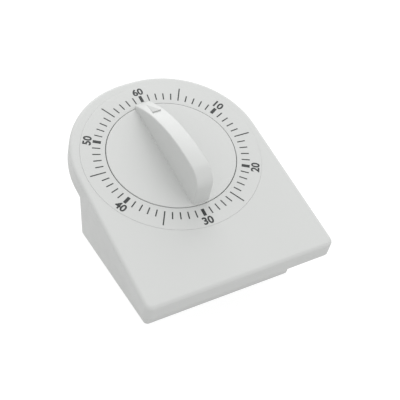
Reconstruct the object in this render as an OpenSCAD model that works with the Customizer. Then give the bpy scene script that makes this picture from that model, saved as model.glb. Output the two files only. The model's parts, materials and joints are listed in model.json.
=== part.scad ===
// Sixty-minute wind-up kitchen timer: a sloping face plate on a narrower stand,
// a large knob with a raised grip, and a spring-driven movement with a bell inside.
// Base frame: +Z up, +Y to the back, origin under the middle of the case on the table.
// Face frame (on_face): origin at the dial centre, +Y up the face, +Z out of the face.

/* [Case] */
// Slope of the face above the table, in degrees
tilt = 17.5; // [15:0.5:20]
// Height of the dial centre above the table
dial_h = 45; // [44:0.5:50]
// Radius of the two arcs that make the round head of the face plate
head_r = 37.9; // [37.5:0.1:39]
// Sideways distance of each arc's centre from the dial centre, which squares the head's shoulders
head_spread = 2; // [0.5:0.1:3]
// Distance of the arcs' centres above the dial centre, along the face
head_rise = 2.5; // [1:0.1:3.5]
// Width of the face plate at its front edge
plate_w = 81.2; // [80:0.2:84]
// Distance from the dial centre to the front edge, along the face
plate_front = 61.4; // [60:0.2:64]
// Depth of the skirt around the face plate
skirt_depth = 7.4; // [7.2:0.1:9]
// Thickness of the case walls
wall = 1.8; // [1.6:0.1:2.2]
// Radius of the rounding between the face and the skirt
edge_r = 1.5; // [1:0.1:2]
// Radius of the face plate's two front corners
corner_r = 3; // [2.5:0.1:5]

/* [Stand] */
// Width of the stand at its front wall
stand_front_w = 65.8; // [62:0.2:68]
// Width of the stand at its back wall
stand_back_w = 62.8; // [61:0.2:66]
// Front wall of the stand, ahead of the dial centre
stand_front = 40.2; // [38:0.1:42]
// Back wall of the stand, behind the dial centre
stand_back = 23.4; // [20:0.1:24]
// Radius of the stand's four upright corners
stand_corner_r = 2; // [1:0.1:3]
// Gap that the rubber feet leave under the stand
foot_gap = 0.5; // [0.4:0.1:1]

/* [Dial and knob] */
// Radius of the inset dial plate
dial_r = 36.5; // [36:0.1:37.5]
// Radius of the knob's disc
knob_r = 26.1; // [25.8:0.1:27]
// Height of the top of the knob's disc above the face
disc_top = 0.3; // [0.2:0.05:0.6]
// Gap around the knob's disc, which sits in a well in the dial
disc_gap = 0.35; // [0.3:0.05:0.6]
// Thickness of the knob's raised grip
grip_w = 7.05; // [6.5:0.05:8]
// Height of the top of the grip above the face
grip_h = 16.6; // [15:0.1:18]

/* [Hidden] */
$fn = 48;

// Running clearance of a pivot in its hole, and the slip between fitted parts
run = 0.04;
slip = 0.02;
eps = 0.01;

// The case sits evenly about the origin from front to back
front_reach = plate_front * cos(tilt) - edge_r * sin(tilt);
back_reach = (head_r + head_rise) * cos(tilt) + skirt_depth * sin(tilt);
dial_y = (front_reach - back_reach) / 2;

// Case: depths below the face are negative heights in the face frame
face_t = 2.2;
dial_well = 0.7;
dial_top = 0.1;
disc_well = 1.2;
disc_clear = 0.3;
disc_low = disc_clear - disc_well;
hub_r = 5;
hub_hole_r = 5.5;
flange_t = 2;
flange_low = 0.4 - skirt_depth;
flange_top = flange_low + flange_t;
floor_t = 2;
foot_r = 5;
foot_t = 2 * foot_gap;
foot_in = 8.5;
case_screw_at = [[33, -54], [-33, -54], [24, 26], [-24, 26]];
case_boss_r = 3.2;

// Levels of the movement, from the front plate to the bell
plate_t = 1;
plate_a = -7.5;
plate_b = -24.5;
pillar_top = plate_a - plate_t;
main_z = -10.8;
wheel_t = 1.2;
thin_t = 0.8;
ratchet_z = -12.3;
third_z = -13.5;
second_z = -15.4;
spring_z = -22.4;
spring_w = 6;
cam_z = -23.9;
cam_t = 1;
escape_z = -18.3;
pallet_z = -19.8;
balance_z = -22;
star_z = -21.3;
bell_rim = -28;
bell_r = 15;
bell_t = 0.8;
bell_depth = 6.5;

// Gear train: teeth, tooth size, and where each arbor stands on the plates
main_teeth = 50;
second_teeth = 50;
third_teeth = 48;
pinion_leaves = 10;
escape_leaves = 12;
escape_teeth = 15;
main_mod = 0.5;
second_mod = 0.45;
third_mod = 0.4;
turn_1 = 233;
turn_2 = -37;
turn_3 = -18;
turn_4 = 60;
gap_1 = main_mod * (main_teeth + pinion_leaves) / 2;
gap_2 = second_mod * (second_teeth + pinion_leaves) / 2;
gap_3 = third_mod * (third_teeth + escape_leaves) / 2;
gap_4 = 9.6;
second_at = polar(gap_1, turn_1);
third_at = second_at + polar(gap_2, turn_2);
escape_at = third_at + polar(gap_3, turn_3);
pallet_at = escape_at + polar(gap_4, turn_4);
hammer_at = [-13, -27];
trip_at = [-16, 2];
bell_at = [6, -9];
spring_post_at = [12.3, 0];
pivot_r = 0.6;
arbor_r = 1;
main_r = 2;
main_pivot_r = 1.2;
escape_r = 7;
star_r = 5;
star_teeth = 16;
cam_r = 6;
cam_notch_turn = 244.5;
pillar_at = [[-21.5, 5], [21.5, 5], [-21, -31.5], [21, -31.5]];
pillar_r = 2;
stud_r = 1.2;
screw_at = [[-21.5, -10], [21.5, -10], [0, -31.5]];

// A point at radius r and angle a
function polar(r, a) = [r * cos(a), r * sin(a)];

// Points along an arc about c, from angle a to angle b
function arc(c, r, a, b, steps) =
    [for (i = [0:steps]) c + polar(r, a + (b - a) * i / steps)];

// One straight-flanked tooth, as [radius, share of the tooth pitch] pairs
function tooth(pitch_r, mod, root, flank, tip) =
    [[pitch_r - 1.25 * mod, -root], [pitch_r, -flank], [pitch_r + 0.9 * mod, -tip],
     [pitch_r + 0.9 * mod, tip], [pitch_r, flank], [pitch_r - 1.25 * mod, root]];

function gear_points(teeth, mod, root, flank, tip) =
    [for (i = [0:teeth - 1])
        for (p = tooth(teeth * mod / 2, mod, root, flank, tip))
            polar(p[0], (i + p[1]) * 360 / teeth)];

// Pointed teeth with one radial flank; way is 1 or -1 for the side it faces
function saw_points(teeth, tip_r, root_r, way) =
    [for (i = [0:teeth - 1]) for (k = [0:2])
        let (j = way > 0 ? k : 2 - k)
        polar(j == 2 ? root_r : tip_r, (i + way * [0, 0.12, 0.98][j]) * 360 / teeth)];

module on_face() {
    translate([0, dial_y, dial_h])
        rotate([tilt, 0, 0])
            children();
}

// A solid of height h whose underside is at height z of the face frame
module level(z, h, at = [0, 0], turn = 0) {
    translate([at[0], at[1], z])
        rotate([0, 0, turn])
            linear_extrude(h)
                children();
}

module rod(r, low, high, at = [0, 0]) {
    translate([at[0], at[1], low])
        cylinder(r = r, h = high - low);
}

// ---- Case ----

// Outline of the face plate, drawn in by inset: a round head on a nearly straight front
function plate_points(inset) =
    let (x = plate_w / 2 - corner_r,
         y = corner_r - plate_front,
         side = [x - head_spread, y - head_rise],
         lean = acos((head_r - corner_r) / norm(side)) + atan2(side[1], side[0]),
         head = head_r - inset,
         corner = corner_r - inset)
    concat(arc([head_spread, head_rise], head, lean, 90, 24),
           arc([-head_spread, head_rise], head, 90, 180 - lean, 24),
           arc([-x, y], corner, 180 - lean, 270, 6),
           arc([x, y], corner, 270, 360 + lean, 6));

// Outline of the stand, drawn in by inset: a rounded box, a little wider at the front
function stand_points(inset) =
    let (corner = max(stand_corner_r - inset, 0.2),
         edge = inset + corner,
         front_x = stand_front_w / 2 - edge,
         back_x = stand_back_w / 2 - edge,
         front_y = dial_y - stand_front + edge,
         back_y = dial_y + stand_back - edge,
         lean = atan2(front_x - back_x, back_y - front_y))
    concat(arc([back_x, back_y], corner, lean, 90, 5),
           arc([-back_x, back_y], corner, 90, 180 - lean, 5),
           arc([-front_x, front_y], corner, 180 - lean, 270, 5),
           arc([front_x, front_y], corner, 270, 360 + lean, 5));

module outline_block(low, high, inset) {
    level(low, high - low)
        polygon(plate_points(inset));
}

module stand_block(low, high, inset) {
    level(low, high - low)
        polygon(stand_points(inset));
}

// One layer of the face plate's rounding, tapering by the two insets
module edge_layer(low, high, low_inset, high_inset) {
    for (side = [-1, 1]) {
        translate([side * head_spread, head_rise, low])
            cylinder(r1 = head_r - low_inset, r2 = head_r - high_inset, h = high - low, $fn = 64);
        translate([side * (plate_w / 2 - corner_r), corner_r - plate_front, low])
            cylinder(r1 = corner_r - low_inset, r2 = corner_r - high_inset, h = high - low, $fn = 24);
    }
}

// The outer block, with its upper edge rounded
module plate_block() {
    step = 30;
    hull() {
        edge_layer(-skirt_depth, -edge_r, 0, 0);
        for (a = [0:step:90 - step])
            edge_layer(edge_r * (sin(a) - 1), edge_r * (sin(a + step) - 1),
                       edge_r * (1 - cos(a)), edge_r * (1 - cos(a + step)));
    }
}

module screw_bosses(places, r, bore_r, low) {
    for (at = places)
        difference() {
            rod(r, low, eps - face_t, at);
            rod(bore_r, low - 1, -face_t - 0.5, at);
        }
}

module front_housing() {
    color("whitesmoke") on_face() {
        difference() {
            plate_block();
            outline_block(-skirt_depth - 1, -face_t, wall);
            rod(dial_r + slip, -dial_well, 1);
            rod(knob_r + disc_gap, -disc_well, 1);
            rod(hub_hole_r, -face_t - 1, 1);
        }
        screw_bosses(case_screw_at, case_boss_r, 1.1, flange_top);
        screw_bosses(screw_at, 3.2, 1.15, plate_a);
    }
}

module feet_places() {
    for (side = [-1, 1])
        for (y = [foot_in - stand_front, stand_back - foot_in])
            translate([side * (stand_back_w / 2 - foot_in), dial_y + y, 0])
                children();
}

module rear_housing() {
    slot = 1.8;
    difference() {
        color("whitesmoke") union() {
            on_face()
                outline_block(flange_low, flange_top, wall + 0.25);
            difference() {
                stand_block(foot_gap, dial_h + head_r, 0);
                on_face()
                    translate([-dial_h * 2, -dial_h * 2, flange_top])
                        cube(dial_h * 4);
            }
        }
        stand_block(foot_gap + floor_t, dial_h + head_r, wall);
        feet_places()
            translate([0, 0, foot_gap - 1])
                cylinder(r = foot_r + 0.1, h = 1 + foot_gap);
        on_face()
            for (at = case_screw_at) {
                rod(1.5, flange_low - 1, flange_top + 1, at);
                rod(2.8, flange_low - 1, flange_low + 0.6, at);
            }
        // sound slots in the back wall and in the floor under the bell
        for (x = [-16:4:16]) {
            translate([x - slot / 2, dial_y + stand_back - wall - 1, 8])
                cube([slot, wall + 2, 13]);
            translate([x - slot / 2, dial_y - 13, foot_gap - 1])
                cube([slot, 22, floor_t + 2]);
        }
    }
}

module dial_plate() {
    color("gainsboro") on_face()
        difference() {
            rod(dial_r, slip - dial_well, dial_top);
            rod(knob_r + disc_gap, -1, 1);
        }
}

module rubber_feet() {
    color("dimgray")
        feet_places()
            rotate_extrude()
                polygon([[0, 0], [foot_r - 0.5, 0], [foot_r, 0.5],
                         [foot_r, foot_t - slip], [0, foot_t - slip]]);
}

module housing_screws() {
    color("silver") on_face()
        for (at = case_screw_at)
            difference() {
                union() {
                    rod(2.5, flange_low - 0.6, flange_low + 0.6 - slip, at);
                    rod(1.05, flange_low, -face_t - 1, at);
                }
                level(flange_low - 1, 1, at)
                    square([3.4, 0.7], center = true);
            }
}

// ---- Knob ----

grip_r = 69;
grip_peak = -16.5;
grip_tip = 27;
grip_back = -25.6;
grip_end_r = 7;

// Side view of the grip from height low up, drawn in by inset; x runs to the pointer end
function grip_points(inset, low) =
    let (big = [grip_peak, grip_h - grip_r],
         small_x = grip_back + grip_end_r,
         rise = sqrt(pow(grip_r - grip_end_r, 2) - pow(small_x - grip_peak, 2)),
         small = [small_x, big[1] + rise],
         meet = atan2(rise, small_x - grip_peak),
         first = acos((grip_tip - inset - big[0]) / (grip_r - inset)))
    concat([[grip_tip - inset, low]], arc(big, grip_r - inset, first, meet, 24),
           arc(small, grip_end_r - inset, meet, 180, 8), [[grip_back + inset, low]]);

module grip(inset, low) {
    translate([inset - grip_w / 2, 0, 0])
        rotate([90, 0, 90])
            linear_extrude(grip_w - 2 * inset)
                polygon(grip_points(inset, low));
}

module knob() {
    grip_low = disc_top - 0.05;
    hub_low = -5.8;
    shell = 1.6;
    bore_top = 7;
    post_top = 11;
    color("white") on_face()
        difference() {
            union() {
                difference() {
                    union() {
                        rod(knob_r, disc_low, disc_top);
                        grip(0, grip_low);
                    }
                    intersection() {
                        grip(shell, disc_low - 1);
                        translate([-knob_r, -knob_r, disc_low - 1])
                            cube([2 * knob_r, 2 * knob_r - 8, 30]);
                    }
                }
                rod(hub_r, hub_low, disc_low + 0.1);
                level(disc_low, post_top - disc_low) square([grip_w - 1, 9], center = true);
            }
            difference() {
                rod(main_r + slip, -7, bore_top);
                translate([1.5 + slip, -5, -2])
                    cube([5, 10, 10]);
            }
        }
}

// ---- Main arbor ----

module main_arbor() {
    color("silver") on_face()
        difference() {
            union() {
                rod(main_r, plate_b + 0.2, 6.8);
                rod(main_pivot_r, plate_b - plate_t - 1, plate_b + 1);
            }
            translate([1.5, -5, slip - 2])
                cube([5, 10, 10]);
        }
}

module ring(r_out, r_in, low, high, at = [0, 0]) {
    difference() {
        rod(r_out, low, high, at);
        rod(r_in, low - 1, high + 1, at);
    }
}

module arbor_clip() {
    color("silver") on_face()
        difference() {
            ring(4, main_r + slip, plate_a + 0.4, plate_a + 1);
            translate([-1, -5, plate_a])
                cube([2, 4, 2]);
        }
}

module friction_washer() {
    color("goldenrod") on_face()
        ring(4.6, main_r + slip, plate_a + 0.06, plate_a + 0.34);
}

module wheel(teeth, mod, z, h, bore_r, at, turn, holes, hole_r) {
    difference() {
        level(z, h, at, turn)
            polygon(gear_points(teeth, mod, 0.27, 0.22, 0.11));
        rod(bore_r, z - 1, z + h + 1, at);
        for (i = [0:holes - 1])
            rod(hole_r, z - 1, z + h + 1, at + polar(teeth * mod * 0.31, (i + 0.5) * 360 / holes));
    }
}

click_at = polar(9, 230);

module main_wheel() {
    color("goldenrod") on_face()
        difference() {
            wheel(main_teeth, main_mod, main_z, wheel_t, main_r + slip, [0, 0], turn_1, 3, 2.6);
            rod(0.8 + slip, main_z - 1, main_z + 3, click_at);
        }
}

ratchet_teeth = 10;
ratchet_r = 4.6;
ratchet_root_r = 3.6;

module ratchet_wheel() {
    color("silver") on_face()
        difference() {
            level(ratchet_z, wheel_t)
                polygon(saw_points(ratchet_teeth, ratchet_r, ratchet_root_r, 1));
            rod(main_r + slip, ratchet_z - 1, ratchet_z + 3);
        }
}

// The click's nose rests in the gap just before a radial flank
click_nose_at = polar(4.45, 280.5);

// A flat lever arm between two round ends, as one 2-D shape
module arm_shape(a, ra, b, rb) {
    hull() {
        translate(a) circle(ra, $fn = 32);
        translate(b) circle(rb, $fn = 32);
    }
}

module click_lever() {
    color("silver") on_face()
        difference() {
            level(ratchet_z + 0.1, 1) {
                arm_shape(click_at, 0.9, click_nose_at, 0.35);
                translate(click_at) circle(1.7);
            }
            rod(0.8 + run, ratchet_z - 1, ratchet_z + 3, click_at);
        }
}

module click_stud() {
    color("silver") on_face() {
        rod(0.8, ratchet_z - 0.1, main_z + wheel_t, click_at);
        rod(1.5, ratchet_z - 0.35, ratchet_z - 0.05, click_at);
    }
}

// A leaf from a foot under the main wheel to the middle of the click's outer edge
module click_spring() {
    foot_at = [0, -9.6];
    tip_at = (click_at + click_nose_at) / 2 + [0.28, -0.72];
    color("lightsteelblue") on_face() {
        level(ratchet_z + 0.2, thin_t) arm_shape(foot_at, 0.13, tip_at, 0.13);
        rod(0.6, ratchet_z + 0.2, main_z, foot_at);
    }
}

module alarm_cam() {
    color("goldenrod") on_face()
        difference() {
            rod(cam_r, cam_z, cam_z + cam_t);
            rod(main_r + slip, cam_z - 1, cam_z + 3);
            level(cam_z - 1, 3, [0, 0], cam_notch_turn)
                translate([4, -cam_r])
                    square([3, cam_r + 0.9]);
        }
}

// Spiral strip from the arbor to the post beside the back plate
module mainspring() {
    coils = 6;
    steps = coils * 30;
    inner = main_r + 0.3;
    outer = 10.9;
    half = 0.17;
    color("lightsteelblue") on_face() {
        level(spring_z, spring_w)
            polygon([for (side = [1, -1]) for (k = [0:steps])
                let (i = side > 0 ? k : steps - k)
                polar(inner + (outer - inner) * i / steps + side * half, i * 360 * coils / steps)]);
        ring(1.35, 0.95, spring_z, spring_z + spring_w, spring_post_at);
    }
}

module spring_post() {
    color("silver") on_face() {
        rod(0.9, plate_b, spring_z + spring_w + 0.3, spring_post_at);
        rod(0.7, plate_b - plate_t, plate_b, spring_post_at);
    }
}

// ---- Going train ----

module arbor(at, r, low_end, high_end) {
    rod(r, plate_b + 0.2, pillar_top - 0.2, at);
    rod(pivot_r, low_end, high_end, at);
}

module pinion(leaves, mod, low, high, at, turn) {
    level(low, high - low, at, turn)
        polygon(gear_points(leaves, mod, 0.25, 0.19, 0.08));
}

pivot_low = plate_b - plate_t - 0.5;
pivot_high = plate_a - 0.2;

module second_arbor() {
    color("silver") on_face() {
        arbor(second_at, arbor_r, pivot_low, pivot_high);
        pinion(pinion_leaves, main_mod, main_z - 0.4, main_z + wheel_t + 0.4, second_at,
               turn_1 + 180 + 180 / pinion_leaves);
    }
}

module second_wheel() {
    color("goldenrod") on_face()
        wheel(second_teeth, second_mod, second_z, thin_t, arbor_r + slip, second_at, turn_2, 4, 2.4);
}

module third_arbor() {
    color("silver") on_face() {
        arbor(third_at, arbor_r, pivot_low, pivot_high);
        pinion(pinion_leaves, second_mod, second_z - 0.4, second_z + thin_t + 0.4, third_at,
               turn_2 + 180 + 180 / pinion_leaves);
    }
}

module third_wheel() {
    color("goldenrod") on_face()
        wheel(third_teeth, third_mod, third_z, thin_t, arbor_r + slip, third_at, turn_3, 4, 2);
}

module star_wheel() {
    color("goldenrod") on_face()
        difference() {
            level(star_z, thin_t, third_at, 175 + 180 / star_teeth)
                polygon(gear_points(star_teeth, 0.55, 0.26, 0.17, 0.06));
            rod(arbor_r + slip, star_z - 1, star_z + 3, third_at);
        }
}

module escape_arbor() {
    color("silver") on_face() {
        arbor(escape_at, arbor_r, pivot_low, pivot_high);
        pinion(escape_leaves, third_mod, third_z - 0.4, third_z + thin_t + 0.4, escape_at,
               turn_3 + 180 + 180 / escape_leaves);
    }
}

module escape_wheel() {
    color("goldenrod") on_face()
        difference() {
            level(escape_z, thin_t, escape_at, turn_4)
                polygon(saw_points(escape_teeth, escape_r, escape_r - 1.6, 1));
            rod(arbor_r + slip, escape_z - 1, escape_z + 3, escape_at);
            for (i = [0:3])
                rod(1.4, escape_z - 1, escape_z + 3, escape_at + polar(3.2, 90 * i + 45));
        }
}

// ---- Pallet and balance ----

// The two pins stand just clear of the escape wheel's tips, in line with its gaps
pin_r = 0.4;
pin_span = 36;
pin_reach = escape_r + 0.65;

module pallet_arbor() {
    color("silver") on_face()
        arbor(pallet_at, arbor_r, pivot_low, pivot_high);
}

module pallet_lever() {
    color("silver") on_face()
        difference() {
            union() {
                for (side = [-1, 1]) {
                    pin_at = escape_at + polar(pin_reach, turn_4 + side * pin_span);
                    level(pallet_z, thin_t)
                        arm_shape(pallet_at, 1.9, pin_at, 0.7);
                    rod(pin_r, pallet_z + 0.2, escape_z + thin_t + 0.4, pin_at);
                }
            }
            rod(arbor_r + slip, pallet_z - 1, pallet_z + 3, pallet_at);
        }
}

module balance_bar() {
    color("goldenrod") on_face()
        difference() {
            union() {
                level(balance_z, 1, pallet_at, turn_4 + 90)
                    square([10, 2.2], center = true);
                for (side = [-1, 1])
                    rod(1.8, balance_z, balance_z + 1.6, pallet_at + polar(4.8, turn_4 + side * 90));
                rod(1.8, balance_z, balance_z + 1, pallet_at);
            }
            rod(arbor_r + slip, balance_z - 1, balance_z + 3, pallet_at);
        }
}

// ---- Movement frame ----

train_places = [second_at, third_at, escape_at, pallet_at, trip_at];

module plate_shape() {
    hull()
        for (x = [-1, 1])
            for (y = [-31.5, 5])
                translate([x * 21, y])
                    circle(3, $fn = 32);
}

module front_movement_plate() {
    color("silver") on_face()
        difference() {
            level(pillar_top, plate_t) plate_shape();
            rod(main_r + run, pillar_top - 1, plate_a + 1);
            for (at = concat(train_places, [hammer_at]))
                rod(pivot_r + run, pillar_top - 1, plate_a + 1, at);
            for (at = pillar_at)
                rod(stud_r + slip, pillar_top - 1, plate_a + 1, at);
            for (at = screw_at)
                rod(1.3, pillar_top - 1, plate_a + 1, at);
        }
}

module back_movement_plate() {
    low = plate_b - plate_t;
    color("silver") on_face()
        difference() {
            level(low, plate_t) plate_shape();
            rod(main_pivot_r + run, low - 1, plate_b + 1);
            for (at = train_places)
                rod(pivot_r + run, low - 1, plate_b + 1, at);
            rod(0.8 + run, low - 1, plate_b + 1, hammer_at);
            for (at = concat(pillar_at, [bell_at]))
                rod(stud_r + slip, low - 1, plate_b + 1, at);
            rod(0.7 + slip, low - 1, plate_b + 1, spring_post_at);
        }
}

module movement_pillars() {
    color("silver") on_face()
        for (at = pillar_at) {
            rod(pillar_r, plate_b, pillar_top, at);
            rod(stud_r, plate_b - plate_t - 2.3, plate_a, at);
        }
}

module pillar_nuts() {
    low = plate_b - plate_t - 1.8;
    color("silver") on_face()
        for (at = pillar_at)
            difference() {
                translate([at[0], at[1], low])
                    cylinder(r = 2.6, h = 1.8, $fn = 6);
                rod(stud_r + slip, low - 1, plate_b, at);
            }
}

module movement_screws() {
    color("silver") on_face()
        for (at = screw_at)
            difference() {
                union() {
                    rod(2.2, pillar_top - 1.3, pillar_top, at);
                    rod(1.1, pillar_top - 0.5, -face_t - 1, at);
                }
                level(pillar_top - 2, 1.2, at)
                    square([3, 0.6], center = true);
            }
}

// ---- Hammer and bell ----

tail_turn = 170;
tail_tip_at = third_at + polar(star_r + 0.8, tail_turn);
lock_tip_at = hammer_at + [-1, 9];
hammer_head_at = [-10.9, -15.2];
arm_z = bell_rim - 1.5;

module hammer_arbor() {
    color("silver") on_face() {
        rod(arbor_r, plate_b + 0.2, pillar_top - 0.2, hammer_at);
        rod(pivot_r, pillar_top - 1, pivot_high, hammer_at);
        rod(0.8, arm_z - 0.4, plate_b + 1, hammer_at);
    }
}

// The upper arm meets the star wheel, and the lower arm meets the trip lever
module hammer_tail() {
    color("silver") on_face()
        difference() {
            union() {
                level(star_z, thin_t) arm_shape(hammer_at, 1.5, tail_tip_at, 0.5);
                level(cam_z + 0.1, thin_t) arm_shape(hammer_at, 1.5, lock_tip_at, 0.6);
                rod(2, cam_z, star_z + thin_t + 0.1, hammer_at);
            }
            rod(arbor_r + slip, cam_z - 1, star_z + 3, hammer_at);
        }
}

module hammer_arm() {
    color("silver") on_face()
        difference() {
            union() {
                level(arm_z, 1) arm_shape(hammer_at, 1.8, hammer_head_at, 0.9);
                rod(2.2, arm_z - 1.5, arm_z + 1.6, hammer_head_at);
            }
            rod(0.8 + slip, arm_z - 3, arm_z + 3, hammer_at);
        }
}

module strip_spring(root_at, tip_at, z) {
    level(z, 0.6) arm_shape(root_at, 0.13, tip_at, 0.13);
}

module hammer_spring() {
    color("lightsteelblue") on_face() {
        ring(2.5, pillar_r + slip, cam_z + 0.2, cam_z + 0.8, pillar_at[2]);
        strip_spring(pillar_at[2] + [2.3, 0.8], lock_tip_at + [-0.78, -0.8], cam_z + 0.2);
    }
}

trip_nose_at = polar(cam_r + 0.65, cam_notch_turn - 6);
trip_tail_at = [-11.9, -18];

module trip_arbor() {
    color("silver") on_face()
        arbor(trip_at, arbor_r, pivot_low, pivot_high);
}

module trip_lever() {
    color("silver") on_face()
        difference() {
            level(cam_z + 0.1, thin_t) {
                arm_shape(trip_at, 1.8, trip_nose_at, 0.5);
                arm_shape(trip_at, 1.8, trip_tail_at, 0.6);
            }
            rod(arbor_r + slip, cam_z - 1, cam_z + 3, trip_at);
        }
}

module trip_spring() {
    color("lightsteelblue") on_face() {
        ring(2.5, pillar_r + slip, cam_z + 0.2, cam_z + 0.8, pillar_at[0]);
        strip_spring(pillar_at[0] + [1.2, -2], trip_at + [1.2, -12], cam_z + 0.2);
    }
}

// A shallow cup, open towards the movement, with a flat seat for its screw
module bell() {
    low = bell_rim - bell_depth;
    curve_r = 5;
    color("silver") on_face()
        translate([bell_at[0], bell_at[1], 0])
            rotate_extrude($fn = 96)
                polygon(concat(
                    [[1.6, low + bell_t]],
                    arc([bell_r - curve_r, low + curve_r], curve_r - bell_t, -90, 0, 12),
                    [[bell_r - bell_t, bell_rim], [bell_r, bell_rim]],
                    arc([bell_r - curve_r, low + curve_r], curve_r, 0, -90, 12),
                    [[1.6, low]]));
}

module bell_post() {
    seat = bell_rim - bell_depth + bell_t;
    color("silver") on_face()
        difference() {
            union() {
                rod(2.4, seat + slip, plate_b - plate_t, bell_at);
                rod(stud_r, plate_b - plate_t - 1, plate_b, bell_at);
            }
            rod(1.3, seat - 1, plate_b - plate_t - 1.5, bell_at);
        }
}

module bell_screw() {
    seat = bell_rim - bell_depth;
    color("silver") on_face()
        difference() {
            union() {
                rod(2.6, seat - 1.4, seat - slip, bell_at);
                rod(1.25, seat - 0.5, plate_b - plate_t - 2, bell_at);
            }
            level(seat - 2, 1.2, bell_at)
                square([3.6, 0.7], center = true);
        }
}

front_housing();
rear_housing();
dial_plate();
rubber_feet();
housing_screws();
knob();
main_arbor();
arbor_clip();
friction_washer();
main_wheel();
ratchet_wheel();
alarm_cam();
mainspring();
spring_post();
click_lever();
click_stud();
click_spring();
second_arbor();
second_wheel();
third_arbor();
third_wheel();
star_wheel();
escape_arbor();
escape_wheel();
pallet_arbor();
pallet_lever();
balance_bar();
front_movement_plate();
back_movement_plate();
movement_pillars();
pillar_nuts();
movement_screws();
hammer_arbor();
hammer_tail();
hammer_arm();
hammer_spring();
trip_arbor();
trip_lever();
trip_spring();
bell();
bell_post();
bell_screw();
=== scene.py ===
"""Looks of the sixty-minute kitchen timer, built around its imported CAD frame.

Lengths are in millimetres in the face frame: x to the right, y up the sloping face, z out of it,
with the dial's centre at the origin. FACE turns them into the row frame, in metres.
"""

import json
from math import acos, atan2, cos, degrees, hypot, pi, radians, sin, sqrt

import bmesh
import bpy
from mathutils import Matrix, Vector


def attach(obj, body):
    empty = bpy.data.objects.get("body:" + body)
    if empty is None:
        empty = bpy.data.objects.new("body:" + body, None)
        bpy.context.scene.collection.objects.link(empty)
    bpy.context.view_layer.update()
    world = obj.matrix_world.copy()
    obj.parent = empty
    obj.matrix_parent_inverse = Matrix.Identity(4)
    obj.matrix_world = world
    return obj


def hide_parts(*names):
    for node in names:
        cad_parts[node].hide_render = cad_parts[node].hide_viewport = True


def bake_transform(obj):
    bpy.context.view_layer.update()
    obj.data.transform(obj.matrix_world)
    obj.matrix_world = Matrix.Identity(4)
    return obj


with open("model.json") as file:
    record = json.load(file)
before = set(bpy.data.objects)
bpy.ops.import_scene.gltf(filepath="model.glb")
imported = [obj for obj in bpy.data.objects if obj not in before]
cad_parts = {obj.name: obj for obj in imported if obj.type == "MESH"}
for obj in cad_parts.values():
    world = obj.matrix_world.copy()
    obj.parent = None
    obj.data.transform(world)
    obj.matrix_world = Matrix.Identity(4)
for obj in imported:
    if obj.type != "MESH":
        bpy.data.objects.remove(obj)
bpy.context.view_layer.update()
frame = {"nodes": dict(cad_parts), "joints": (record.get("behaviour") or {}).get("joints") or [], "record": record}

MM = 0.001

# Case, as in the CAD
HEAD_R = 37.9
HEAD_SPREAD, HEAD_RISE = 2.0, 2.5
PLATE_W = 81.2
PLATE_FRONT = 61.4
SKIRT = 7.4
WALL = 1.8
FACE_T = 2.2
EDGE_R = 1.5
CORNER_R = 3.0
FLANGE_LOW = 0.4 - SKIRT
FLANGE_TOP = FLANGE_LOW + 2.0
FLANGE_IN = WALL + 0.25
STAND_FRONT_W, STAND_BACK_W = 65.8, 62.8
STAND_FRONT, STAND_BACK = 40.2, 23.4
STAND_CORNER_R = 2.0
FOOT_GAP = 0.5
FLOOR_T = 2.0
FOOT_INSET = 8.5
FOOT_RECESS_R = 5.1
CASE_SCREWS = [(33, -54), (-33, -54), (24, 26), (-24, 26)]
MOVEMENT_SCREWS = [(-21.5, -10), (21.5, -10), (0, -31.5)]
BOSS_R = 3.2
CASE_BORE_R, MOVEMENT_BORE_R = 1.1, 1.15
MOVEMENT_BOSS_LOW = -7.5
SCREW_HEAD_R, SCREW_HOLE_R = 2.8, 1.5
SCREW_SEAT = FLANGE_LOW + 0.6

# Sound slots in the stand's back wall and floor
SLOTS_AT = range(-16, 17, 4)
SLOT_W = 1.8
WALL_SLOT_H, WALL_SLOT_L = 14.5, 13
FLOOR_SLOT_L = 22
SLOT_BACK = 2

# Dial and knob
DIAL_R = 36.5
DIAL_TOP = 0.1
DIAL_WELL = 0.7
HUB_HOLE_R = 5.5
KNOB_R = 26.1
DISC_GAP = 0.35
DISC_WELL = 1.2
DISC_LOW, DISC_TOP = -0.9, 0.3
GRIP_W = 7.05
GRIP_H = 16.6
GRIP_R = 69.0
GRIP_PEAK = -16.5
GRIP_TIP, GRIP_BACK = 27.0, -25.6
GRIP_END_R = 7.0
HUB_R = 5
HUB_LOW = -5.8
ARBOR_HOLE_R = 2.02

# Print on the dial: the sixty mark stands a little clockwise of the face's centre line
DIAL_TURN = -2.0
TICK_IN, TICK_OUT, LONG_OUT = 28.35, 31.65, 35.0
TICK_W, TEN_W = 0.5, 1.35
NUMBER_R = 33.9
NUMBER_H = 3.5
NUMBER_BOLD = 0.03
INK_LOW, INK_T = 0.002, 0.03

# Cuts along each leaf spring, so that it can bend
LEAF_CUTS = 10


# ---- Frames ----

def face_frame():
    """From face-frame millimetres to the row frame."""
    knob_turn = next(j for j in frame["joints"] if j["name"] == "knob_turn")
    out = -Vector(knob_turn["axis"]).normalized()
    across = Vector((1, 0, 0))
    pivot = Vector(knob_turn["pos_m"])
    top = max((v.co - pivot).dot(out) for v in frame["nodes"]["dial_plate"].data.vertices)
    turn = Matrix((across, out.cross(across), out)).transposed().to_4x4()
    return Matrix.Translation(pivot + (top - DIAL_TOP * MM) * out) @ turn @ Matrix.Scale(MM, 4)


FACE = face_frame()
ORIGIN = FACE.translation
OUT = (FACE.to_3x3() @ Vector((0, 0, 1))).normalized()
TILT = acos(OUT.z)
DIAL_Y, DIAL_H = ORIGIN.y / MM, ORIGIN.z / MM
# Stand pieces are drawn upright, in millimetres of the row frame
UPRIGHT = Matrix.Scale(MM, 4)


# ---- Mesh helpers ----

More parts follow.
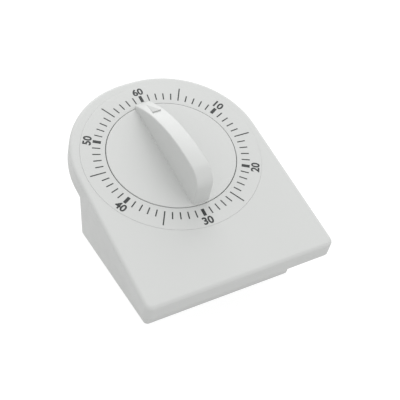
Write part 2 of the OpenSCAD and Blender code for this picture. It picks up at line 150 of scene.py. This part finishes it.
def arc(centre, r, a, b, steps):
    """Points on an arc from angle a to b, in degrees."""
    angles = [radians(a + (b - a) * i / steps) for i in range(steps + 1)]
    return [(centre[0] + r * cos(t), centre[1] + r * sin(t)) for t in angles]


def loft(loops, ring=False):
    """Vertices and faces through equal closed loops: capped at both ends, or joined into a ring."""
    n = len(loops[0])
    verts = [p for loop in loops for p in loop]
    spans = len(loops) if ring else len(loops) - 1
    faces = []
    for k in range(spans):
        a, b = k * n, (k + 1) % len(loops) * n
        faces += [(a + i, a + (i + 1) % n, b + (i + 1) % n, b + i) for i in range(n)]
    if not ring:
        faces += [tuple(range(n))[::-1], tuple(range((len(loops) - 1) * n, len(loops) * n))]
    return verts, faces


def turned(profile, at, steps):
    """A circle about an upright line for each (radius, height) of a profile."""
    turns = [2 * pi * i / steps for i in range(steps)]
    return [[(at[0] + r * cos(t), at[1] + r * sin(t), z) for t in turns] for r, z in profile]


def lathe(profile, at=(0, 0), steps=96):
    """A ring turned from a closed profile."""
    return loft(turned(profile, at, steps), ring=True)


def rod(r, low, high, at=(0, 0), steps=48):
    return loft([[(at[0] + x, at[1] + y, z) for x, y in arc((0, 0), r, 0, 360, steps)[:-1]]
                 for z in (low, high)])


def merged(parts):
    """Several (vertices, faces) shapes as one."""
    verts, faces = [], []
    for v, f in parts:
        faces += [tuple(i + len(verts) for i in face) for face in f]
        verts += v
    return verts, faces


def mesh_object(name, shape, place):
    verts, faces = shape
    mesh = bpy.data.meshes.new(name)
    mesh.from_pydata([place @ Vector(v) for v in verts], [], faces)
    bm = bmesh.new()
    bm.from_mesh(mesh)
    bmesh.ops.recalc_face_normals(bm, faces=bm.faces)
    bm.to_mesh(mesh)
    bm.free()
    obj = bpy.data.objects.new(name, mesh)
    bpy.context.scene.collection.objects.link(obj)
    return obj


def combine(obj, shape, place, operation):
    """A boolean with a second shape, applied to obj's mesh."""
    other = mesh_object(obj.name + "_tool", shape, place)
    step = obj.modifiers.new("cut", "BOOLEAN")
    step.operation = operation
    step.solver = "EXACT"
    step.use_self = True
    step.object = other
    graph = bpy.context.evaluated_depsgraph_get()
    result = bpy.data.meshes.new_from_object(obj.evaluated_get(graph))
    obj.modifiers.remove(step)
    obj.data = result
    result.name = obj.name
    bpy.data.objects.remove(other)


def finish_mesh(obj, crease=32):
    """Smooth shading, with edges sharper than crease degrees kept as edges."""
    bm = bmesh.new()
    bm.from_mesh(obj.data)
    bmesh.ops.remove_doubles(bm, verts=bm.verts, dist=1e-7)
    bmesh.ops.dissolve_degenerate(bm, edges=bm.edges, dist=1e-7)
    for face in bm.faces:
        face.smooth = True
    for edge in bm.edges:
        edge.smooth = len(edge.link_faces) == 2 and degrees(edge.calc_face_angle(0)) < crease
    bm.to_mesh(obj.data)
    bm.free()


def dress(obj, material, body, slot, *nodes):
    """Gives a finished piece its material and body, and hides the CAD nodes it stands for. The slot is not used.
    """
    obj.data.materials.clear()
    obj.data.materials.append(material)
    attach(obj, body)
    if nodes:
        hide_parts(*nodes)


# ---- Materials ----

def new_material(name):
    """A material with its Principled shader, and a function that adds linked nodes."""
    material = bpy.data.materials.new(name)
    material.use_nodes = True
    tree = material.node_tree
    shader = tree.nodes["Principled BSDF"]

    def node(kind, inputs=(), **settings):
        made = tree.nodes.new(kind)
        for key, value in settings.items():
            setattr(made, key, value)
        for key, value in dict(inputs).items():
            if isinstance(value, bpy.types.NodeSocket):
                tree.links.new(value, made.inputs[key])
            else:
                made.inputs[key].default_value = value
        return made

    return material, tree, shader, node


def ramp(node, factor, stops):
    """A colour ramp through (position, colour) stops."""
    made = node("ShaderNodeValToRGB", {"Fac": factor})
    elements = made.color_ramp.elements
    elements[0].position, elements[0].color = stops[0][0], (*stops[0][1], 1)
    elements[1].position, elements[1].color = stops[-1][0], (*stops[-1][1], 1)
    for position, colour in stops[1:-1]:
        elements.new(position).color = (*colour, 1)
    return made.outputs["Color"]


def shade(colour, by):
    return tuple(min(1.0, c * by) for c in colour)


def noise(node, where, scale, detail=3.0, rough=0.5):
    made = node("ShaderNodeTexNoise", {"Vector": where, "Scale": scale, "Detail": detail,
                                       "Roughness": rough})
    return made.outputs["Fac"]


def plastic(name, colour, rough=0.42, grain=0.1):
    """Moulded plastic: slow colour drift, fine spark-eroded grain and a faint flow pattern."""
    material, tree, shader, node = new_material(name)
    where = node("ShaderNodeTexCoord").outputs["Object"]
    drift = noise(node, where, 45, 2)
    fine = noise(node, where, 2600, 4, 0.6)
    flow = noise(node, where, 240, 3)
    colours = ramp(node, drift, [(0.25, shade(colour, 0.992)), (0.5, colour),
                                 (0.8, shade(colour, 1.006))])
    tree.links.new(colours, shader.inputs["Base Color"])
    roughness = node("ShaderNodeMapRange", {"Value": flow, "From Min": 0.3, "From Max": 0.7,
                                            "To Min": rough - 0.05, "To Max": rough + 0.06})
    tree.links.new(roughness.outputs["Result"], shader.inputs["Roughness"])
    height = node("ShaderNodeMath", {0: fine, 1: flow}, operation="ADD")
    bump = node("ShaderNodeBump", {"Height": height.outputs[0], "Strength": grain,
                                   "Distance": 0.00006})
    tree.links.new(bump.outputs["Normal"], shader.inputs["Normal"])
    shader.inputs["Specular IOR Level"].default_value = 0.42
    return material


def ink(name, colour):
    """Pad-printed ink with slightly uneven cover."""
    material, tree, shader, node = new_material(name)
    where = node("ShaderNodeTexCoord").outputs["Object"]
    cover = noise(node, where, 1500, 3)
    colours = ramp(node, cover, [(0.3, shade(colour, 0.8)), (0.75, shade(colour, 1.5))])
    tree.links.new(colours, shader.inputs["Base Color"])
    roughness = node("ShaderNodeMapRange", {"Value": cover, "To Min": 0.35, "To Max": 0.6})
    tree.links.new(roughness.outputs["Result"], shader.inputs["Roughness"])
    return material


def metal(name, colour, rough, brush=0.15, stretch=(1, 1, 1), tarnish=0.25, scale=900):
    """Stamped, turned or plated metal: brushed bump, tarnish in patches."""
    material, tree, shader, node = new_material(name)
    where = node("ShaderNodeTexCoord").outputs["Object"]
    long = node("ShaderNodeMapping", {"Vector": where, "Scale": stretch}).outputs["Vector"]
    lines = noise(node, long, scale, 4, 0.6)
    patches = noise(node, where, 120, 3)
    colours = ramp(node, patches, [(0.3, shade(colour, 1 - tarnish)), (0.6, colour),
                                   (0.85, shade(colour, 1.08))])
    tree.links.new(colours, shader.inputs["Base Color"])
    roughness = node("ShaderNodeMapRange", {"Value": lines, "From Min": 0.3, "From Max": 0.7,
                                            "To Min": rough * 0.8, "To Max": rough * 1.25})
    tree.links.new(roughness.outputs["Result"], shader.inputs["Roughness"])
    bump = node("ShaderNodeBump", {"Height": lines, "Strength": brush, "Distance": 0.00004})
    tree.links.new(bump.outputs["Normal"], shader.inputs["Normal"])
    shader.inputs["Metallic"].default_value = 1.0
    return material


def rubber(name):
    material, tree, shader, node = new_material(name)
    where = node("ShaderNodeTexCoord").outputs["Object"]
    dust = noise(node, where, 700, 4, 0.65)
    colours = ramp(node, dust, [(0.35, (0.018, 0.018, 0.019)), (0.7, (0.05, 0.05, 0.052))])
    tree.links.new(colours, shader.inputs["Base Color"])
    roughness = node("ShaderNodeMapRange", {"Value": dust, "To Min": 0.7, "To Max": 0.95})
    tree.links.new(roughness.outputs["Result"], shader.inputs["Roughness"])
    bump = node("ShaderNodeBump", {"Height": dust, "Strength": 0.3, "Distance": 0.0001})
    tree.links.new(bump.outputs["Normal"], shader.inputs["Normal"])
    return material


CASE_WHITE = plastic("case_plastic", (0.61, 0.62, 0.61), rough=0.45, grain=0.12)
DIAL_WHITE = plastic("dial_plastic", (0.61, 0.62, 0.61), rough=0.40, grain=0.08)
KNOB_WHITE = plastic("knob_plastic", (0.62, 0.63, 0.62), rough=0.36, grain=0.08)
# The pointer mark's darker grey is painted shade, standing in for the shade inside the triangle.
MARK_PAINTED_SHADE = plastic("pointer_painted_shade", (0.52, 0.53, 0.52), rough=0.5)
INK = ink("dial_ink", (0.022, 0.026, 0.026))
STEEL = metal("plated_steel", (0.56, 0.56, 0.57), 0.32)
BLUED = metal("spring_steel", (0.18, 0.21, 0.30), 0.28, stretch=(1, 1, 8))
BRASS = metal("brass", (0.72, 0.52, 0.22), 0.30, stretch=(6, 1, 1))
BRIGHT = metal("bell_plating", (0.68, 0.68, 0.69), 0.16, brush=0.06, tarnish=0.1)
RUBBER = rubber("foot_rubber")


# ---- Front housing ----

def plate_base():
    """Points of the face plate's outline with their outward directions."""
    x, y = PLATE_W / 2 - CORNER_R, CORNER_R - PLATE_FRONT
    dx, dy = x - HEAD_SPREAD, y - HEAD_RISE
    lean = degrees(acos((HEAD_R - CORNER_R) / hypot(dx, dy)) + atan2(dy, dx))
    points = []

    def turn(cx, cy, r, a, b, steps):
        for i in range(steps + 1):
            t = radians(a + (b - a) * i / steps)
            points.append((cx + r * cos(t), cy + r * sin(t), cos(t), sin(t)))

    def run_to(cx, cy, r, a, steps):
        t = radians(a)
        start, end = points[-1], (cx + r * cos(t), cy + r * sin(t))
        for i in range(1, steps):
            s = i / steps
            points.append((start[0] + (end[0] - start[0]) * s, start[1] + (end[1] - start[1]) * s,
                           cos(t), sin(t)))

    turn(HEAD_SPREAD, HEAD_RISE, HEAD_R, lean, 90, 45)
    turn(-HEAD_SPREAD, HEAD_RISE, HEAD_R, 90, 180 - lean, 45)
    run_to(-x, y, CORNER_R, 180 - lean, 24)
    turn(-x, y, CORNER_R, 180 - lean, 270, 12)
    run_to(x, y, CORNER_R, 270, 24)
    turn(x, y, CORNER_R, 270, 360 + lean, 12)
    run_to(HEAD_SPREAD, HEAD_RISE, HEAD_R, lean, 24)
    return points


PLATE = plate_base()


def plate_loop(inset, z):
    return [(px - inset * nx, py - inset * ny, z) for px, py, nx, ny in PLATE]


def disc_loop(r, z):
    """A circle with one point for each point of the plate's outline, at the same bearing."""
    return [(r * px / hypot(px, py), r * py / hypot(px, py), z) for px, py, _, _ in PLATE]


def rounding(r, steps):
    """Insets and drops of a rounded edge, as (inset, drop) pairs from the wall to the top."""
    turns = [radians(90 * i / steps) for i in range(steps + 1)]
    return [(r * (1 - cos(t)), r * (1 - sin(t))) for t in turns]


def front_shell():
    """The face plate and its skirt, with the stepped well of the dial and the knob's disc.

    Extra loops stand a little way off each rounded edge, to keep its shading narrow.
    """
    bevel = 0.2
    skirt_r = 0.35
    loops = [plate_loop(WALL, -SKIRT + bevel), plate_loop(WALL - bevel, -SKIRT)]
    loops += [plate_loop(inset, drop - SKIRT) for inset, drop in
              [(skirt_r + 0.1, 0)] + [(i, skirt_r - d) for i, d in reversed(rounding(skirt_r, 4))]]
    loops += [plate_loop(0, -SKIRT + skirt_r + 0.3), plate_loop(0, -EDGE_R - 0.2)]
    loops += [plate_loop(inset, -drop) for inset, drop in rounding(EDGE_R, 8)]
    loops += [plate_loop(EDGE_R + 0.25, 0)]
    lip = DIAL_R + 0.02
    lip_r = 0.06
    loops += [disc_loop(lip + 0.4, 0), disc_loop(lip + lip_r, 0)]
    loops += [disc_loop(lip + lip_r * (1 - sin(radians(t))), lip_r * (cos(radians(t)) - 1))
              for t in (30, 60, 90)]
    disc_well_r = KNOB_R + DISC_GAP
    under_r = 30
    loops += [disc_loop(lip, -DIAL_WELL), disc_loop(disc_well_r, -DIAL_WELL),
              disc_loop(disc_well_r, -DISC_WELL), disc_loop(HUB_HOLE_R, -DISC_WELL),
              disc_loop(HUB_HOLE_R, -FACE_T), disc_loop(under_r, -FACE_T),
              plate_loop(WALL + bevel, -FACE_T), plate_loop(WALL, -FACE_T - bevel)]
    return loft(loops, ring=True)


def boss(at, r, bore, low):
    """A screw boss under the face: a tube with a bevelled mouth, wider at its root."""
    top = -FACE_T - 0.02
    bevel, bore_bevel, flare = 0.2, 0.15, 0.4
    return lathe([(r, low + bevel), (r - bevel, low), (bore + bore_bevel, low),
                  (bore, low + bore_bevel), (bore, top), (r + flare, top), (r, top - flare)], at, 48)


def front_housing():
    shapes = [front_shell()]
    shapes += [boss(at, BOSS_R, CASE_BORE_R, FLANGE_TOP) for at in CASE_SCREWS]
    shapes += [boss(at, BOSS_R, MOVEMENT_BORE_R, MOVEMENT_BOSS_LOW) for at in MOVEMENT_SCREWS]
    obj = mesh_object("face_shell", merged(shapes), FACE)
    finish_mesh(obj)
    dress(obj, CASE_WHITE, "case", "case", "front_housing")


# ---- Stand ----

def stand_base():
    """Points of the stand's outline with their outward directions, in upright millimetres."""
    r = STAND_CORNER_R
    fx, bx = STAND_FRONT_W / 2 - r, STAND_BACK_W / 2 - r
    fy, by = DIAL_Y - STAND_FRONT + r, DIAL_Y + STAND_BACK - r
    lean = degrees(atan2(fx - bx, by - fy))
    corners = [(bx, by, lean, 90), (-bx, by, 90, 180 - lean), (-fx, fy, 180 - lean, 270),
               (fx, fy, 270, 360 + lean)]
    steps = 10
    points = []
    for cx, cy, a, b in corners:
        for i in range(steps + 1):
            t = radians(a + (b - a) * i / steps)
            points.append((cx + r * cos(t), cy + r * sin(t), cos(t), sin(t)))
    return points


STAND = stand_base()


def stand_loop(inset, height):
    """One loop of the stand; height is a number or a function of the point's y."""
    points = [(px - inset * nx, py - inset * ny) for px, py, nx, ny in STAND]
    return [(x, y, height(y) if callable(height) else height) for x, y in points]


def slope(depth):
    """Height, over a point at y, of the plane that lies depth below the face."""
    return lambda y: DIAL_H + (depth + (y - DIAL_Y) * sin(TILT)) / cos(TILT)


def slot_cutter(x, y, z, along, width, length, depth):
    """A round-ended slot. along and depth are unit directions of its length and its cut."""
    along, depth = Vector(along), Vector(depth)
    across = depth.normalized().cross(along)
    half = (length - width) / 2
    ends = arc((half, 0), width / 2, -90, 90, 10) + arc((-half, 0), width / 2, 90, 270, 10)
    centre = Vector((x, y, z))
    loops = []
    for k in (-0.5, 0.5):
        loops.append([tuple(centre + along * u + across * v + depth * k) for u, v in ends])
    return loft(loops)


def flange():
    """The stand's flange, which follows the plate's outline inside the skirt."""
    rim = 0.15
    return loft([plate_loop(FLANGE_IN + 2 * rim, FLANGE_LOW), plate_loop(FLANGE_IN + rim, FLANGE_LOW),
                 plate_loop(FLANGE_IN, FLANGE_LOW + rim), plate_loop(FLANGE_IN, FLANGE_TOP - rim),
                 plate_loop(FLANGE_IN + rim, FLANGE_TOP), plate_loop(FLANGE_IN + 2 * rim, FLANGE_TOP)])


def openings():
    """Cutters for the sound slots and for the recesses of the rubber feet."""
    wall_slots = [slot_cutter(x, DIAL_Y + STAND_BACK - WALL / 2, WALL_SLOT_H, (0, 0, 1), SLOT_W,
                              WALL_SLOT_L, (0, WALL + 2, 0)) for x in SLOTS_AT]
    floor_slots = [slot_cutter(x, DIAL_Y - SLOT_BACK, FOOT_GAP + FLOOR_T / 2, (0, 1, 0), SLOT_W,
                               FLOOR_SLOT_L, (0, 0, FLOOR_T + 2)) for x in SLOTS_AT]
    feet = [rod(FOOT_RECESS_R, -1, 2 * FOOT_GAP, (side * (STAND_BACK_W / 2 - FOOT_INSET), DIAL_Y + y))
            for side in (-1, 1) for y in (FOOT_INSET - STAND_FRONT, STAND_BACK - FOOT_INSET)]
    return merged(wall_slots + floor_slots + feet)


def screw_hole(at):
    """Cutter for one case screw: a wide recess for the head, then a hole through the flange."""
    centre_r = 0.01
    low, top = FLANGE_LOW - 1, FLANGE_TOP + 1
    profile = [(centre_r, low), (SCREW_HEAD_R, low), (SCREW_HEAD_R, SCREW_SEAT),
               (SCREW_HOLE_R, SCREW_SEAT), (SCREW_HOLE_R, top), (centre_r, top)]
    return loft(turned(profile, at, 48))


def rear_housing():
    foot_r = 0.3
    turns = [radians(t) for t in range(0, 91, 15)]
    loops = [stand_loop(foot_r + 0.3, FOOT_GAP)]
    loops += [stand_loop(foot_r * (1 - sin(t)), FOOT_GAP + foot_r * (1 - cos(t))) for t in turns]
    loops += [stand_loop(0, FOOT_GAP + foot_r + 0.4), stand_loop(0, slope(FLANGE_LOW - 0.6)),
              stand_loop(0, slope(FLANGE_LOW + 0.7))]
    obj = mesh_object("stand_shell", loft(loops), UPRIGHT)
    combine(obj, flange(), FACE, "UNION")
    inner = [stand_loop(WALL, FOOT_GAP + FLOOR_T), stand_loop(WALL, slope(FLANGE_TOP + 2))]
    combine(obj, loft(inner), UPRIGHT, "DIFFERENCE")
    combine(obj, openings(), UPRIGHT, "DIFFERENCE")
    combine(obj, merged([screw_hole(at) for at in CASE_SCREWS]), FACE, "DIFFERENCE")
    finish_mesh(obj)
    dress(obj, CASE_WHITE, "case", "case", "rear_housing")


# ---- Dial ----

def dial_plate():
    """The dial: a ring with rounded edges, just clear of the floor of its well."""
    rim = 0.08
    band = 0.5
    low = 0.02 - DIAL_WELL
    inner = KNOB_R + DISC_GAP
    turns = [radians(t) for t in range(0, 91, 18)]
    profile = [(inner, low)]
    profile += [(inner + rim * (1 - cos(t)), DIAL_TOP - rim * (1 - sin(t))) for t in turns]
    profile += [(inner + band, DIAL_TOP), (DIAL_R - band, DIAL_TOP)]
    profile += [(DIAL_R - rim * (1 - sin(t)), DIAL_TOP - rim * (1 - cos(t))) for t in turns]
    profile += [(DIAL_R, low)]
    obj = mesh_object("dial_disc", lathe(profile, steps=180), FACE)
    finish_mesh(obj)
    dress(obj, DIAL_WHITE, "case", "dial", "dial_plate")


def minute_angle(minute):
    return 90 + DIAL_TURN - 6 * minute


def tick(minute):
    """A flat bar of ink, lying on the dial along its radius."""
    outer = LONG_OUT if minute % 10 == 5 else TICK_OUT
    width = TEN_W if minute % 10 == 0 else TICK_W
    place = Matrix.Rotation(radians(minute_angle(minute)), 4, "Z")
    corners = [(TICK_IN, -width / 2), (outer, -width / 2), (outer, width / 2), (TICK_IN, width / 2)]
    loops = [[tuple(place @ Vector((x, y, z))) for x, y in corners]
             for z in (DIAL_TOP + INK_LOW, DIAL_TOP + INK_T)]
    return loft(loops)


def numeral(text, minute):
    """Flat digits, upright to the reader on their side of the dial."""
    curve = bpy.data.curves.new("digits", "FONT")
    curve.body = text
    curve.offset = NUMBER_BOLD
    curve.resolution_u = 6
    curve.extrude = 0.5
    obj = bpy.data.objects.new("digits", curve)
    bpy.context.scene.collection.objects.link(obj)
    graph = bpy.context.evaluated_depsgraph_get()
    mesh = bpy.data.meshes.new_from_object(obj.evaluated_get(graph))
    bpy.data.objects.remove(obj)
    points = [v.co.copy() for v in mesh.vertices]
    low = Vector([min(p[k] for p in points) for k in range(3)])
    high = Vector([max(p[k] for p in points) for k in range(3)])
    centre = (low + high) / 2
    size = NUMBER_H / (high.y - low.y)
    angle = minute_angle(minute)
    top_outward = minute in (50, 60, 10)
    turn = angle - 90 if top_outward else angle + 90
    place = Matrix.Translation((NUMBER_R * cos(radians(angle)), NUMBER_R * sin(radians(angle)), 0))
    place = place @ Matrix.Rotation(radians(turn), 4, "Z")
    verts = []
    for p in points:
        q = (p - centre) * size
        height = DIAL_TOP + (INK_T if p.z > centre.z else INK_LOW)
        verts.append(tuple(place @ Vector((q.x, q.y, height))))
    faces = [tuple(f.vertices) for f in mesh.polygons]
    bpy.data.meshes.remove(mesh)
    return verts, faces


def dial_print():
    ticks = mesh_object("dial_ticks", merged([tick(m) for m in range(60)]), FACE)
    numbers = mesh_object("dial_numbers", merged([numeral(str(m), m) for m in range(10, 61, 10)]),
                          FACE)
    for obj in (ticks, numbers):
        finish_mesh(obj, 20)
        dress(obj, INK, "case", "dial")


# ---- Knob ----

def grip_profile(inset, low):
    """Side view of the grip, as (y, z) points from its pointer end over the top to its back."""
    small_y = GRIP_BACK + GRIP_END_R
    rise = sqrt((GRIP_R - GRIP_END_R) ** 2 - (small_y - GRIP_PEAK) ** 2)
    big_z = GRIP_H - GRIP_R
    meet = degrees(atan2(rise, small_y - GRIP_PEAK))
    first = degrees(acos((GRIP_TIP - inset - GRIP_PEAK) / (GRIP_R - inset)))
    top = arc((GRIP_PEAK, big_z), GRIP_R - inset, first, meet, 60)
    back = arc((small_y, big_z + rise), GRIP_END_R - inset, meet, 180, 20)[1:]
    end = (GRIP_BACK + inset, low)
    return [(GRIP_TIP - inset, low)] + top + back + [end]


def grip(edge=0.55, low=0.25):
    """The raised grip as loops across its thickness, with rounded long edges."""
    half = GRIP_W / 2
    sides = [(half, edge + 0.25)]
    sides += [(half - edge * (1 - cos(radians(t))), edge * (1 - sin(radians(t))))
              for t in range(0, 91, 15)]
    layers = [(-x, inset) for x, inset in sides] + [(x, inset) for x, inset in reversed(sides)]
    return loft([[(x, y, z) for y, z in grip_profile(inset, low)] for x, inset in layers])


def pointer_mark(apex=24.2, base=15.8, half=1.85, raised=0.55):
    """A thin raised triangle on the slope of the grip, highest along its base. Its darker grey colour is painted
    shade.
    """
    tip_share = 0.2

    def on_grip(x, y, height):
        top = GRIP_H - GRIP_R + sqrt(GRIP_R ** 2 - (y - GRIP_PEAK) ** 2)
        share = tip_share + (1 - tip_share) * (apex - y) / (apex - base)
        return (x, y, top + height * share)

    soft, root = 0.12, 0.4
    side = soft * 1.3
    outline = [(0, apex), (-half, base), (half, base)]
    inner = [(0, apex - 4 * soft), (side - half, base + soft), (half - side, base + soft)]
    sunk = [(x, y, on_grip(x, y, 0)[2] - root) for x, y in outline]
    obj = mesh_object("knob_pointer", loft([sunk, [on_grip(x, y, raised - soft) for x, y in outline],
                                            [on_grip(x, y, raised) for x, y in inner]]), FACE)
    finish_mesh(obj)
    # The darker grey material paints the shade inside the triangle.
    dress(obj, MARK_PAINTED_SHADE, "knob_and_arbor", "knob")


def knob():
    """The disc and hub as one turned solid, joined to the grip and bored for the arbor."""
    rim, band, bevel, centre_r = 0.15, 0.8, 0.2, 0.01
    edge = [(KNOB_R - rim + rim * sin(radians(t)), DISC_TOP - rim + rim * cos(radians(t)))
            for t in range(0, 91, 15)]
    profile = [(centre_r, DISC_TOP), (KNOB_R - band, DISC_TOP)] + edge
    profile += [(KNOB_R, DISC_LOW), (HUB_R, DISC_LOW), (HUB_R, HUB_LOW + bevel),
                (HUB_R - bevel, HUB_LOW), (centre_r, HUB_LOW)]
    obj = mesh_object("knob_grip", loft(turned(profile, (0, 0), 180)), FACE)
    combine(obj, grip(), FACE, "UNION")
    combine(obj, rod(ARBOR_HOLE_R, -7, 7), FACE, "DIFFERENCE")
    finish_mesh(obj)
    dress(obj, KNOB_WHITE, "knob_and_arbor", "knob", "knob")


# ---- Leaf springs ----

def leaf_spring(name, node, foot_r):
    """A leaf spring that bends between the body of its foot and the lever its tip presses on.

    foot is the mean of the node's points, which lies on the leaf 1.5 to 3.5 mm from the middle of
    its real foot. The bend starts foot_r millimetres beyond it, clear of that foot.
    """
    mesh = frame["nodes"][node].data.copy()
    points = [v.co.copy() for v in mesh.vertices]
    foot = sum(points, Vector()) / len(points)
    tip = max(points, key=lambda p: (p - foot).length)
    along = tip - foot
    along -= OUT * along.dot(OUT)
    start = foot + along.normalized() * foot_r * MM
    bm = bmesh.new()
    bm.from_mesh(mesh)
    for i in range(LEAF_CUTS):
        cut_at = start.lerp(foot + along, i / LEAF_CUTS)
        bmesh.ops.bisect_plane(bm, geom=bm.verts[:] + bm.edges[:] + bm.faces[:],
                               plane_co=cut_at, plane_no=along.normalized())
    bm.to_mesh(mesh)
    bm.free()
    obj = bpy.data.objects.new(name, mesh)
    bpy.context.scene.collection.objects.link(obj)
    mesh.materials.clear()
    mesh.materials.append(BLUED)
    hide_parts(node)
    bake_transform(obj)


# ---- CAD nodes ----

def dress_nodes():
    """Gives every CAD node the finish of its material slot."""
    finishes = {"steel": STEEL, "spring_steel": BLUED, "brass": BRASS, "bell": BRIGHT,
                "rubber": RUBBER, "case": CASE_WHITE, "dial": DIAL_WHITE, "knob": KNOB_WHITE}
    for part in frame["record"]["subparts"]:
        node = frame["nodes"][part["node"]]
        node.data.materials.clear()
        node.data.materials.append(finishes[part["material_slot"]])


# ---- Stage, light and camera ----

def stage():
    """A pale floor that glows, less so under the stand, where the weaker glow is painted shade in the gap, and
    gives no diffuse light to the object.
    """
    reach = 3000
    square = [(-reach, -reach, 0), (reach, -reach, 0), (reach, reach, 0), (-reach, reach, 0)]
    # The dimmer patch under the stand is painted shade: it darkens the gap beneath the stand's edge.
    open_glow, painted_shade_glow = 0.86, 0.3
    base = 0.25
    for name, points, glow in (("floor", square, open_glow),
                               ("floor_shade", stand_loop(0.3, 0.01), painted_shade_glow)):
        floor = mesh_object(name, (points, [tuple(range(len(points)))]), UPRIGHT)
        material, _, shader, _ = new_material(name)
        shader.inputs["Base Color"].default_value = (base, base, base, 1)
        shader.inputs["Roughness"].default_value = 0.9
        shader.inputs["Specular IOR Level"].default_value = 0.0
        shader.inputs["Emission Color"].default_value = (1, 1, 1, 1)
        shader.inputs["Emission Strength"].default_value = glow
        floor.data.materials.append(material)
        floor.visible_diffuse = False


def area_light(name, place, target, size, power):
    lamp = bpy.data.lights.new(name, "AREA")
    lamp.shape = "DISK"
    lamp.size = size
    lamp.energy = power
    obj = bpy.data.objects.new(name, lamp)
    obj.location = place
    obj.rotation_euler = (Vector(target) - Vector(place)).to_track_quat("-Z", "Y").to_euler()
    bpy.context.scene.collection.objects.link(obj)


def lights():
    """An even white surround, dimmer below the table's level, with two lamps.

    The large lamp stands behind the object and to its right, and the weak one in front.
    """
    above, below = 0.95, 0.58
    blend = 0.1
    world = bpy.data.worlds.new("studio")
    world.use_nodes = True
    nodes, links = world.node_tree.nodes, world.node_tree.links
    split = nodes.new("ShaderNodeSeparateXYZ")
    fade = nodes.new("ShaderNodeMapRange")
    links.new(nodes.new("ShaderNodeTexCoord").outputs["Generated"], split.inputs["Vector"])
    links.new(split.outputs["Z"], fade.inputs["Value"])
    for key, value in {"From Min": -blend, "From Max": blend, "To Min": below, "To Max": above}.items():
        fade.inputs[key].default_value = value
    nodes["Background"].inputs["Color"].default_value = (1, 1, 1, 1)
    links.new(fade.outputs["Result"], nodes["Background"].inputs["Strength"])
    bpy.context.scene.world = world
    middle = (0, 0, 0.04)
    area_light("key", (0.40, 0.74, 0.65), middle, 1.0, 4.5)
    area_light("fill", (0.36, -0.95, 0.36), middle, 0.8, 1.1)


def camera():
    """Stands where the photographed view is taken from, about half a metre away."""
    azimuth, elevation, roll = radians(-29.376), radians(38.311), radians(0.838)
    distance = 0.47235
    aim = Vector((0.0046, -0.00675, 0.0308))
    back = Vector((sin(azimuth) * cos(elevation), -cos(azimuth) * cos(elevation), sin(elevation)))
    data = bpy.data.cameras.new("camera")
    data.sensor_width = 36
    data.lens = 106.9
    obj = bpy.data.objects.new("camera", data)
    turn = (-back).to_track_quat("-Z", "Y").to_matrix().to_4x4()
    obj.matrix_world = Matrix.Translation(aim + back * distance) @ turn @ Matrix.Rotation(roll, 4, "Z")
    bpy.context.scene.collection.objects.link(obj)
    bpy.context.scene.camera = obj


camera()
stage()
lights()
bpy.context.scene.view_settings.view_transform = "Standard"
front_housing()
rear_housing()
dial_plate()
dial_print()
knob()
pointer_mark()
leaf_spring("hammer_leaf", "hammer_spring", foot_r=2.6)
leaf_spring("trip_leaf", "trip_spring", foot_r=2.6)
leaf_spring("click_leaf", "click_spring", foot_r=0.7)
dress_nodes()
